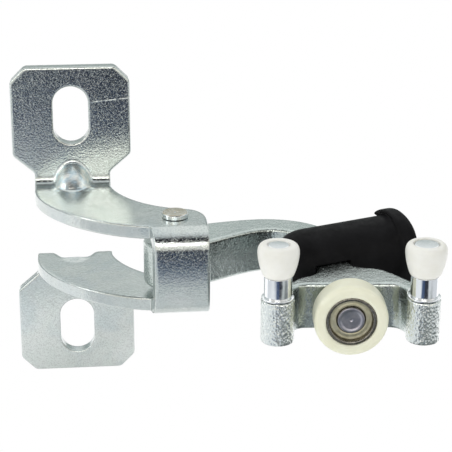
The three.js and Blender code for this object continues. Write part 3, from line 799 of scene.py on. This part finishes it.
def bracket_distance():
    strip = Outline(strip_line(), closed=False)
    plan = Outline(bracket_plan())
    flange = Outline(flange_outline())
    slot_r = SLOT_WIDTH / 2
    slot_half = SLOT_LENGTH / 2 - slot_r

    def distance(p):
        x, y, z = p[:, 0], p[:, 1], np.abs(p[:, 2])
        plate = strip(y, z) - PLATE / 2
        arms = np.maximum(plan(x, y), z - NECK_TOP_Z + 2)
        flanges = np.maximum(flange(x, z), -12 - y)
        d = both(plate, np.minimum(arms, flanges), PLATE_EDGE_R)
        narrowing = 1 + 0.03 * np.clip(z - 21, 0, 12)
        dome = ellipsoid(x * narrowing, y, z, GUSSET_CENTRE, GUSSET_RADII, GUSSET_SLOPE)
        d = either(d, dome, 1.4)
        d = np.maximum(d, y)
        dimple = ellipsoid(x, y, z, DIMPLE_CENTRE, DIMPLE_RADII, GUSSET_SLOPE)
        d = -either(-d, dimple, 3)
        slot = np.hypot(x, np.maximum(np.abs(z - SLOT_Z) - slot_half, 0)) - slot_r
        d = both(d, -slot, 0.5)
        bore = np.hypot(x - PIVOT.x, y - PIVOT.y) - PIN_BORE_R
        return both(d, -bore, 0.3)

    return distance


def door_bracket():
    piece = formed("bracket_pressing", "door_bracket", bracket_distance(), 0.6)
    return declare(piece, "bracket", "bracket_zinc", PLATE_ZINC, "door_bracket")


# ---------------------------------------------------------------- hinge pin, washers, bushes
def hinge_pin():
    seat = ARM_OUTER_Z + 0.2
    top = seat + PIN_HEAD_HEIGHT
    profile = [(0, -top), (PIN_TAIL_R - 0.6, -top), (PIN_TAIL_R, -top + 0.7), (PIN_TAIL_R, -seat)]
    profile += [(PIN_R, -seat), (PIN_R, seat), (PIN_HEAD_R, seat), (PIN_HEAD_R, top - 0.6)]
    profile += [(PIN_HEAD_R - 0.5, top), (0.9, top), (0.5, top - 0.5), (0, top - 0.55)]
    piece = lathe("rivet_pin", rounded(profile, 0.25, closed=False), HINGE_FRAME)
    return declare(piece, "bracket", "pin_steel", PIN_STEEL, "hinge_pin")


def washers_and_bushes():
    for side, place in (("upper", Matrix()), ("lower", MIRROR_Z)):
        z0, z1 = sorted(abs(corner.z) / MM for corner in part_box(side + "_thrust_washer"))
        profile = [(PIN_BORE_R, z0), (WASHER_R, z0), (WASHER_R, z1), (PIN_BORE_R, z1)]
        piece = lathe(side + "_washer", rounded(profile, 0.3), HINGE_FRAME @ place)
        declare(piece, "bracket", "pin_steel", BRIGHT_STEEL, side + "_thrust_washer")
        face = FORGING_HALF + 0.1
        end = face + BUSH_FLANGE
        profile = [(PIN_BORE_R, BUSH_INNER_END), (BUSH_R, BUSH_INNER_END), (BUSH_R, face)]
        profile += [(BUSH_FLANGE_R, face), (BUSH_FLANGE_R, end), (PIN_BORE_R, end)]
        piece = lathe(side + "_bush", rounded(profile, 0.25), ARM_FRAME @ place)
        declare(piece, "arm", "bush_bronze", BUSH_BRONZE, side + "_hinge_bush")


# ---------------------------------------------------------------- forged arm
def forging_outline():
    """Plan of the forging, counter-clockwise from the hub, along the carriage and back round the arm."""
    left, right = CARRIAGE_X - GUIDE_HALF_SPACING, CARRIAGE_X + GUIDE_HALF_SPACING
    front = CARRIAGE_FRONT_Y
    start = (HUB_R * math.cos(math.radians(105)), HUB_R * math.sin(math.radians(105)))
    points = arc((0, 0), HUB_R, 105, 333, 48)
    points += cubic(points[-1], (25, 1), (36, 11), (46, 11))
    points += cubic(points[-1], (54, 11), (NECK_LEFT_X, 3), (NECK_LEFT_X, -10))
    points.append((NECK_LEFT_X, -40))
    points += quadratic(points[-1], (NECK_LEFT_X, -45.5), (58, -48))
    points += quadratic(points[-1], (50.5, -52), (left + 3.7, -63))
    points += [(left + 3.7, -66.5), (left + 6.6, -66.5)]
    points += quadratic(points[-1], (left + 7.6, front), (left + 13.5, front))
    points.append((right - 13.5, front))
    points += quadratic(points[-1], (right - 7.6, front), (right - 6.6, -66.5))
    points += [(right - 3.7, -66.5), (right + 3.6, -63)]
    points += cubic(points[-1], (104, -58), (98, -39.5), (88, -38.4))
    points += quadratic(points[-1], (NECK_RIGHT_X, -37.6), (NECK_RIGHT_X, -31))
    points.append((NECK_RIGHT_X, -8))
    points += cubic(points[-1], (NECK_RIGHT_X, 8), (66, 26), (43.6, 26.1))
    points += cubic(points[-1], (33, 26.2), (20, 21.8), start)
    return points[:-1]


def forging_distance():
    outline = Outline(forging_outline())
    bosses = [(CARRIAGE_X + side * GUIDE_HALF_SPACING, ROLLER_LINE_Y) for side in (-1, 1)]

    def distance(p):
        x, y, z = to_frame(p, ARM_FRAME).T
        height = np.abs(z) - FORGING_HALF
        d = both(outline(x, y), height, FORGING_EDGE_R)
        boss_height = np.maximum(z - BOSS_TOP_Z, -FORGING_HALF - z)
        for cx, cy in bosses:
            d = either(d, both(np.hypot(x - cx, y - cy) - BOSS_R, boss_height, 0.9), 1.2)
        for cx, cy in bosses:
            reach = np.hypot(x - cx, y - cy)
            spot_face = np.maximum(reach - SPOT_FACE_R, BOSS_TOP_Z - z)
            d = both(d, -spot_face, 0.3)
            d = both(d, BOSS_BORE_R - reach, 0.3)
        d = both(d, HUB_BORE_R - np.hypot(x, y), 0.3)
        axle = np.hypot(x - CARRIAGE_X, z) - AXLE_BORE_R
        axle = np.maximum(axle, y - CARRIAGE_FRONT_Y - AXLE_BORE_DEPTH)
        return both(d, -axle, 0.3)

    return distance


def forging_relief(points):
    """Shot-blasted forging skin, deepest on the two bosses."""
    x, y, _ = to_frame(points, ARM_FRAME).T
    on_boss = np.zeros(len(points))
    for side in (-1, 1):
        reach = np.hypot(x - CARRIAGE_X - side * GUIDE_HALF_SPACING, y - ROLLER_LINE_Y)
        on_boss = np.maximum(on_boss, np.clip((10 - reach) / 2, 0, 1))
    inside = np.hypot(x, y) < 8
    pitted = cellular(points, 2.6) - 0.55
    hammered = cellular(points * (1, 1, 0.7), 1.7) - 0.55
    return np.where(inside, 0, 0.08 * pitted + 0.12 * on_boss * hammered)


def roller_arm():
    piece = formed("forged_arm", "roller_arm", forging_distance(), 0.6, forging_relief)
    return declare(piece, "arm", "forging_zinc", FORGING_ZINC, "roller_arm")


# ---------------------------------------------------------------- guide pins and rollers
def guide_pin(foot, head):
    """From the shank's end through the foot and collar to the head, in the roller's recess."""
    end = 0.1 - FORGING_HALF
    return [
        (0, end),
        (GUIDE_SHANK_R, end),
        (GUIDE_SHANK_R, foot),
        (GUIDE_FOOT_R, foot),
        (GUIDE_FOOT_R, foot + 0.75),
        (GUIDE_COLLAR_R - 0.35, foot + 0.8),
        (GUIDE_COLLAR_R - 0.35, foot + 1.2),
        (GUIDE_COLLAR_R, foot + 1.5),
        (GUIDE_COLLAR_R, GUIDE_COLLAR_TOP_Z),
        (GUIDE_STEM_R, GUIDE_COLLAR_TOP_Z),
        (GUIDE_STEM_R, GUIDE_HEAD_FLOOR_Z),
        (head, GUIDE_HEAD_FLOOR_Z),
        (head, GUIDE_HEAD_FLOOR_Z + 0.7),
        (head - 0.25, GUIDE_HEAD_FLOOR_Z + 0.95),
        (0, GUIDE_HEAD_FLOOR_Z + 1),
    ]


def barrel(head):
    """A roller that widens upwards to its shoulder, with a recess for the pin's head."""
    bore, low, high = GUIDE_ROLLER_BORE_R, GUIDE_ROLLER_BOTTOM_Z, GUIDE_ROLLER_TOP_Z
    recess, recess_floor = head + 0.4, GUIDE_HEAD_FLOOR_Z - 0.2
    side = cubic((6.7, low + 0.5), (7.5, 21.9), (8.95, 26.2), (9.05, 30.4), 16)
    shoulder = cubic(side[-1], (9.1, 32.4), (8.3, high - 0.1), (6.9, high), 12)
    mouth = [(recess + 0.25, high), (recess, high - 0.25), (recess, recess_floor), (bore, recess_floor)]
    return [(bore, low), (6.2, low), (6.7, low + 0.5)] + side + shoulder + mouth


def guide_sets():
    for side, sign in (("left", -1), ("right", 1)):
        head = GUIDE_HEAD_R[side]
        place = ARM_FRAME @ Matrix.Translation((CARRIAGE_X + sign * GUIDE_HALF_SPACING, ROLLER_LINE_Y, 0))
        pin = rounded(guide_pin(BOSS_TOP_Z + 0.2, head), 0.2, closed=False)
        piece = lathe("pivot_pin_" + side, pin, place)
        declare(piece, "arm", "pin_steel", BRIGHT_STEEL, "guide_pin_" + side)
        piece = lathe("barrel_roller_" + side, barrel(head), place)
        declare(piece, f"guide_roller_{side}_body", "guide_nylon", GUIDE_NYLON, "guide_roller_" + side)


# ---------------------------------------------------------------- main roller
def groove(land, towards_axis, steps=12):
    """The balls' groove, cut into a land of the given radius."""
    half = math.sqrt(GROOVE_R**2 - (land - BALL_CIRCLE) ** 2)
    points = []
    for i in range(steps + 1):
        z = half * (1 - 2 * i / steps)
        bulge = math.sqrt(max(0, GROOVE_R**2 - z * z))
        points.append((BALL_CIRCLE + (-bulge if towards_axis else bulge), z))
    return points


def axle_profile():
    """The axle from its riveted head, which is dished round a small centre mark, to its buried end."""
    head_foot = -BEARING_HALF - 0.1
    head_top = head_foot - AXLE_HEAD_HEIGHT
    shoulder = BEARING_HALF + 0.1
    face = CARRIAGE_FRONT_Y - ROLLER_LINE_Y
    return [
        (0, head_top + 1.0),
        (0.4, head_top + 0.6),
        (0.8, head_top + 0.4),
        (2.6, head_top + 0.45),
        (4.1, head_top + 0.35),
        (4.9, head_top),
        (AXLE_HEAD_R - 0.4, head_top),
        (AXLE_HEAD_R, head_top + 0.4),
        (AXLE_HEAD_R, head_foot),
        (AXLE_SHANK_R, head_foot),
        (AXLE_SHANK_R, shoulder),
        (AXLE_HEAD_R, shoulder),
        (AXLE_HEAD_R, face - 0.2),
        (AXLE_STEM_R, face - 0.2),
        (AXLE_STEM_R, face + AXLE_SHANK_DEPTH),
        (0, face + AXLE_SHANK_DEPTH),
    ]


def outer_ring_profile():
    """A ring with a shield seat and a snap groove in each mouth, and the balls' groove between them."""
    seat, half = BEARING_HALF - 0.7, OUTER_RING_HALF
    wall = [(SHIELD_SEAT_R, seat), (SHIELD_SEAT_R, 3.6), (9.75, 3.8), (9.75, 4.2), (SHIELD_SEAT_R, 4.4)]
    wall += [(SHIELD_SEAT_R, half - 0.5), (9.8, half)]
    wall += [(OUTER_RING_R - 0.4, half), (OUTER_RING_R, half - 0.4)]
    land = [(OUTER_LAND_R, seat)] + groove(OUTER_LAND_R, False) + [(OUTER_LAND_R, -seat)]
    return [(r, -z) for r, z in wall] + wall[::-1] + land


def shield_profile():
    z = 0.1 - BEARING_HALF
    dish = [(6.35, z + 0.1), (6.8, z), (7.5, z), (7.8, z + 0.14), (8.5, z + 0.14), (8.8, z), (9.4, z)]
    return dish + [(9.4, z + 0.4), (6.35, z + 0.4)]


def tyre_profile():
    sides = []
    for t in (TYRE_FRONT, TYRE_REAR):
        side = [(OUTER_RING_R + 0.05, OUTER_RING_HALF), (11.4, t - 0.4)]
        side += cubic(side[-1], (11.7, t - 0.05), (12.2, t), (12.8, t), 6)
        side += cubic(side[-1], (14.8, t), (TYRE_R - 0.1, t - 0.5), (TYRE_R, t - 2.6), 18)
        sides.append(side)
    return [(r, -z) for r, z in sides[0]] + sides[1][::-1]


def main_roller():
    piece = lathe("axle_rivet", rounded(axle_profile(), 0.2, closed=False), ROLLER_FRAME)
    declare(piece, "arm", "pin_steel", HEAD_STEEL, "roller_axle")

    w = BEARING_HALF
    inner = [(BEARING_BORE_R, -w), (INNER_LAND_R, -w)] + groove(INNER_LAND_R, True)[::-1]
    piece = lathe("inner_race", inner + [(INNER_LAND_R, w), (BEARING_BORE_R, w)], ROLLER_FRAME)
    declare(piece, "arm", "bearing_steel", BEARING_STEEL, "bearing_inner_ring")
    piece = lathe("outer_race", outer_ring_profile(), ROLLER_FRAME)
    declare(piece, "main_roller", "bearing_steel", BEARING_STEEL, "bearing_outer_ring")

    for side, place in (("front", Matrix()), ("rear", Matrix.Rotation(math.pi, 4, "X"))):
        piece = lathe("shield_" + side, shield_profile(), ROLLER_FRAME @ place)
        declare(piece, "main_roller", "shield_steel", SHIELD_STEEL, "bearing_shield_" + side)

    turns = np.linspace(-math.pi / 2, math.pi / 2, 13)[1:-1]
    ball = [(BALL_R * math.cos(t), BALL_R * math.sin(t)) for t in turns]
    ball = [(0, -BALL_R)] + ball + [(0, BALL_R)]
    for i in range(BALL_COUNT):
        a = 2 * math.pi * i / BALL_COUNT
        centre = (BALL_CIRCLE * math.cos(a), BALL_CIRCLE * math.sin(a), 0)
        piece = lathe(f"ball_{i + 1}", ball, ROLLER_FRAME @ Matrix.Translation(centre), 24)
        declare(piece, "bearing_cage_body", "bearing_steel", BRIGHT_STEEL, f"bearing_ball_{i + 1}")

    piece = lathe("nylon_tyre", tyre_profile(), ROLLER_FRAME, 144)
    declare(piece, "main_roller", "tyre_nylon", TYRE_NYLON, "roller_tyre")


def ball_cage():
    """The crown cage keeps its CAD solid, which the shields hide, with its edges rounded."""
    node = frame["nodes"]["bearing_cage"]
    node.data.materials.clear()
    node.data.materials.append(CAGE_NYLON)
    bevel = node.modifiers.new("edges", "BEVEL")
    bevel.width = 0.08 * MM
    bevel.segments = 2
    bevel.limit_method = "ANGLE"


# ---------------------------------------------------------------- rubber buffer
def buffer_body():
    """Half section of the sleeve along its axis, mirrored, as (along, radius)."""
    start, end = BUFFER_START, BUFFER_END
    side = [(start, 7.5)]
    side += cubic(side[-1], (start + 0.4, 11.5), (start + 5, BUFFER_R), (start + 12, BUFFER_R))
    side.append((end - 2, BUFFER_R))
    side += cubic(side[-1], (end - 0.8, BUFFER_R), (end - 0.1, BUFFER_R - 0.6), (end, BUFFER_R - 2))
    return side + [(s, -r) for s, r in side[::-1]]


def buffer_flange():
    """Section of the flange at the sleeve's end, undercut towards the sleeve, as (along, radius)."""
    end, rim = BUFFER_END, BUFFER_FLANGE_R
    root = end - BUFFER_FLANGE_WIDTH
    lip = [(root, 10), (root, BUFFER_R)]
    lip += cubic(lip[-1], (root - 0.2, rim - 2.1), (root - 0.9, rim - 1.5), (root - 1.3, rim - 1.0), 8)
    lip += cubic(lip[-1], (root - 1.6, rim - 0.4), (root - 1.0, rim), (root + 0.2, rim), 8)
    lip.append((end - 3.2, rim))
    lip += cubic(lip[-1], (end - 1.2, rim), (end - 0.1, rim - 0.8), (end, rim - 2.3), 10)
    return lip + [(end, 10)]


def buffer_distance():
    body = Outline(buffer_body())
    flange = Outline(buffer_flange())
    place = ARM_FRAME @ Matrix.Translation((BUFFER_X, BUFFER_Y, BUFFER_AXIS_Z))
    place = place @ Matrix.Rotation(BUFFER_SLANT, 4, "Z")
    top = FORGING_HALF + 0.3

    def distance(p):
        s, t, h = to_frame(p, place).T
        reach = np.hypot(t, np.maximum(h, 0))
        # The flange ends at a radial cut on the far side and flows into the body on the near side.
        ahead = t * math.cos(FLANGE_CUT) - h * math.sin(FLANGE_CUT)
        trimmed = both(flange(s, reach), np.where(t > 0, ahead, -9), 0.5)
        near = np.clip((4 - t) / 16, 0, 1)
        d = either(body(s, reach), trimmed, 0.4 + 5 * near)
        d = both(d, BUFFER_BOTTOM_Z - BUFFER_AXIS_Z - h, 1.0)
        x, y, z = to_frame(p, ARM_FRAME).T
        slot = np.maximum(np.maximum(NECK_LEFT_X - 0.3 - x, x - NECK_RIGHT_X - 0.3), z - top)
        relief = np.maximum(np.maximum(54 - x, x - NECK_RIGHT_X), np.maximum(-13 - y, z - top))
        return both(d, -np.minimum(slot, relief), 0.6)

    return distance


def rubber_buffer():
    piece = formed("moulded_buffer", "rubber_buffer", buffer_distance(), 0.55)
    return declare(piece, "arm", "buffer_rubber", BUFFER_RUBBER, "rubber_buffer")


door_bracket()
hinge_pin()
washers_and_bushes()
roller_arm()
guide_sets()
main_roller()
ball_cage()
rubber_buffer()


# ---------------------------------------------------------------- studio
def plane(name, x0, x1, y0, y1, z, made):
    """A level sheet of the set, in metres."""
    mesh = bpy.data.meshes.new(name)
    mesh.from_pydata([(x0, y0, z), (x1, y0, z), (x1, y1, z), (x0, y1, z)], [], [(0, 1, 2, 3)])
    mesh.materials.append(made)
    thing = bpy.data.objects.new(name, mesh)
    bpy.context.scene.collection.objects.link(thing)
    return thing


floor_z = cad_low.z - 0.0002
floor_paint = material("floor_paper", (0.9, 0.9, 0.9), 0.0, 0.9, Specular_IOR_Level=0.1)
floor_shader = floor_paint.node_tree.nodes["Principled BSDF"]
floor_shader.inputs["Emission Color"].default_value = (1, 1, 1, 1)
floor_shader.inputs["Emission Strength"].default_value = 0.34
# The floor lights the object and shows in its reflections; the camera sees plain white instead.
plane("floor", -8, 8, -8, 8, floor_z, floor_paint).visible_camera = False


def painted_reflection_sheet():
    """A sheet lying in front of the set, out of frame, which only polished metal sees: its colour is
    painted reflection, dark and light bands placed to show on the metal parts.
    """
    made = material("reflection_card", (0.03, 0.035, 0.05), 0.0, 0.9, Specular_IOR_Level=0.0)
    paint = Painter(made)
    across, depth, _ = paint.split()
    # Painted reflection bands: the left part starts further out; the right part is darkest close by and
    # again further out.
    further = paint.maths("ADD", depth, paint.fade(across, 0.035, 0.0, 0.09))
    left_part = paint.ramp(
        paint.fade(further, -0.215, -0.615),
        [
            (0.0, (0.85, 0.88, 0.90)),
            (0.2, (0.13, 0.18, 0.28)),
            (0.4, (0.05, 0.075, 0.15)),
            (0.62, (0.008, 0.012, 0.03)),
        ],
    )
    right_part = paint.ramp(
        paint.fade(depth, -0.13, -0.53),
        [
            (0.0, (0.17, 0.19, 0.19)),
            (0.34, (0.22, 0.24, 0.24)),
            (0.4, (0.36, 0.4, 0.39)),
            (0.48, (0.6, 0.64, 0.63)),
            (0.53, (0.04, 0.045, 0.06)),
        ],
    )
    shade = paint.mix(paint.fade(across, 0.085, 0.11), left_part, right_part)
    edge = paint.maths("SUBTRACT", across, paint.fade(depth, -0.34, -0.3, 0.1))
    # Painted reflection: lighter beyond the right edge and the left edge.
    for value, near, far in ((edge, 0.2, 0.235), (across, -0.09, -0.14)):
        shade = paint.mix(paint.fade(value, near, far), shade, (0.72, 0.75, 0.78))
    paint.set("Base Color", shade)
    reflection_card = plane("painted_reflection_sheet", -0.5, 0.8, -3.0, -0.09, floor_z + 0.002, made)
    reflection_card.visible_camera = False
    reflection_card.visible_diffuse = False
    reflection_card.visible_shadow = False
    reflection_card.visible_transmission = False


painted_reflection_sheet()


def softbox(name, position, target, size, power, colour=(1, 1, 1)):
    light = bpy.data.lights.new(name, "AREA")
    light.shape = "RECTANGLE"
    light.size, light.size_y = size
    light.energy = power
    light.color = colour
    thing = bpy.data.objects.new(name, light)
    thing.location = position
    thing.rotation_euler = (Vector(target) - Vector(position)).to_track_quat("-Z", "Y").to_euler()
    bpy.context.scene.collection.objects.link(thing)
    return thing


softbox("top_softbox", (0.05, 0.1, 1.5), (0.05, -0.05, 0), (1.2, 0.9), 9).visible_glossy = False
softbox("front_softbox", (-0.2, -1.35, 0.75), (0.04, -0.05, 0), (1.0, 0.4), 4, (1, 0.97, 0.92))
softbox("left_softbox", (-1.3, -0.35, 0.55), (0.04, -0.05, 0), (0.35, 0.9), 2.5)


def world_light():
    """Reflections in bands by height in front, and a ramp behind; even white light for the rest."""
    world = bpy.data.worlds.new("studio")
    bpy.context.scene.world = world
    world.use_nodes = True
    nodes, links = world.node_tree.nodes, world.node_tree.links
    nodes.clear()

    def add(kind, inputs=None, **settings):
        made = nodes.new(kind)
        for key, value in settings.items():
            setattr(made, key, value)
        for key, value in (inputs or {}).items():
            if isinstance(value, bpy.types.NodeSocket):
                links.new(value, made.inputs[key])
            else:
                made.inputs[key].default_value = value
        return made

    direction = add("ShaderNodeTexCoord").outputs["Generated"]
    split = add("ShaderNodeSeparateXYZ", {0: direction}).outputs
    # How far the direction points forwards, out of the door: 0 behind, 1 in front.
    ahead = {"Value": split["Y"], "From Min": 0.15, "From Max": -0.45}
    front = add("ShaderNodeMapRange", ahead).outputs[0]
    # 0 straight down, 0.5 level, 1 straight up.
    upwards = {"Value": split["Z"], "From Min": -1, "From Max": 1}
    height = add("ShaderNodeMapRange", upwards).outputs[0]
    bands = add("ShaderNodeValToRGB", {"Fac": height})
    stops = [
        (0.0, (0.4, 0.4, 0.4)),
        (0.49, (0.02, 0.026, 0.045)),
        (0.53, (0.96, 0.92, 0.84)),
        (0.795, (1.0, 0.96, 0.89)),
        (0.825, (0.0, 0.0, 0.0)),
        (0.95, (0.02, 0.02, 0.03)),
        (0.98, (0.55, 0.58, 0.6)),
    ]
    fill_ramp(bands.color_ramp, stops)
    rear = add("ShaderNodeValToRGB", {"Fac": height})
    fill_ramp(rear.color_ramp, [(0.66, (0.38, 0.43, 0.42)), (0.715, (0.95, 0.97, 0.96))])
    colours = {"Factor": front, 6: rear.outputs[0], 7: bands.outputs[0]}
    colour = add("ShaderNodeMix", colours, data_type="RGBA").outputs[2]
    reflected = add("ShaderNodeBackground", {"Color": colour, "Strength": 1.15}).outputs[0]
    white = (1, 1, 1, 1)
    even = add("ShaderNodeBackground", {"Color": white, "Strength": 0.6}).outputs[0]
    backdrop = add("ShaderNodeBackground", {"Color": white}).outputs[0]
    path = add("ShaderNodeLightPath").outputs
    lit = add("ShaderNodeMixShader", {0: path["Is Glossy Ray"], 1: even, 2: reflected}).outputs[0]
    seen = add("ShaderNodeMixShader", {0: path["Is Camera Ray"], 1: lit, 2: backdrop}).outputs[0]
    add("ShaderNodeOutputWorld", {"Surface": seen})


world_light()
bpy.context.scene.view_settings.view_transform = "Standard"


# ---------------------------------------------------------------- camera
CAMERA_PLACE = (0.0026, -0.73814, 0.26974)
CAMERA_YAW = math.radians(-5.79)
CAMERA_DOWN = math.radians(20.43)
CAMERA_ROLL = math.radians(0.19)
CAMERA_LENS = 122.8


def look_from():
    camera_data = bpy.data.cameras.new("camera")
    camera_data.sensor_width = 36
    camera_data.lens = CAMERA_LENS
    camera = bpy.data.objects.new("camera", camera_data)
    bpy.context.scene.collection.objects.link(camera)
    bpy.context.scene.camera = camera
    ahead = Vector((-math.sin(CAMERA_YAW), math.cos(CAMERA_YAW), 0))
    forward = ahead * math.cos(CAMERA_DOWN) - Vector((0, 0, math.sin(CAMERA_DOWN)))
    right = Vector((math.cos(CAMERA_YAW), math.sin(CAMERA_YAW), 0))
    up = right.cross(forward)
    c, s = math.cos(CAMERA_ROLL), math.sin(CAMERA_ROLL)
    turned = Matrix((c * right + s * up, c * up - s * right, -forward)).transposed()
    camera.matrix_world = Matrix.Translation(CAMERA_PLACE) @ turned.to_4x4()


look_from()
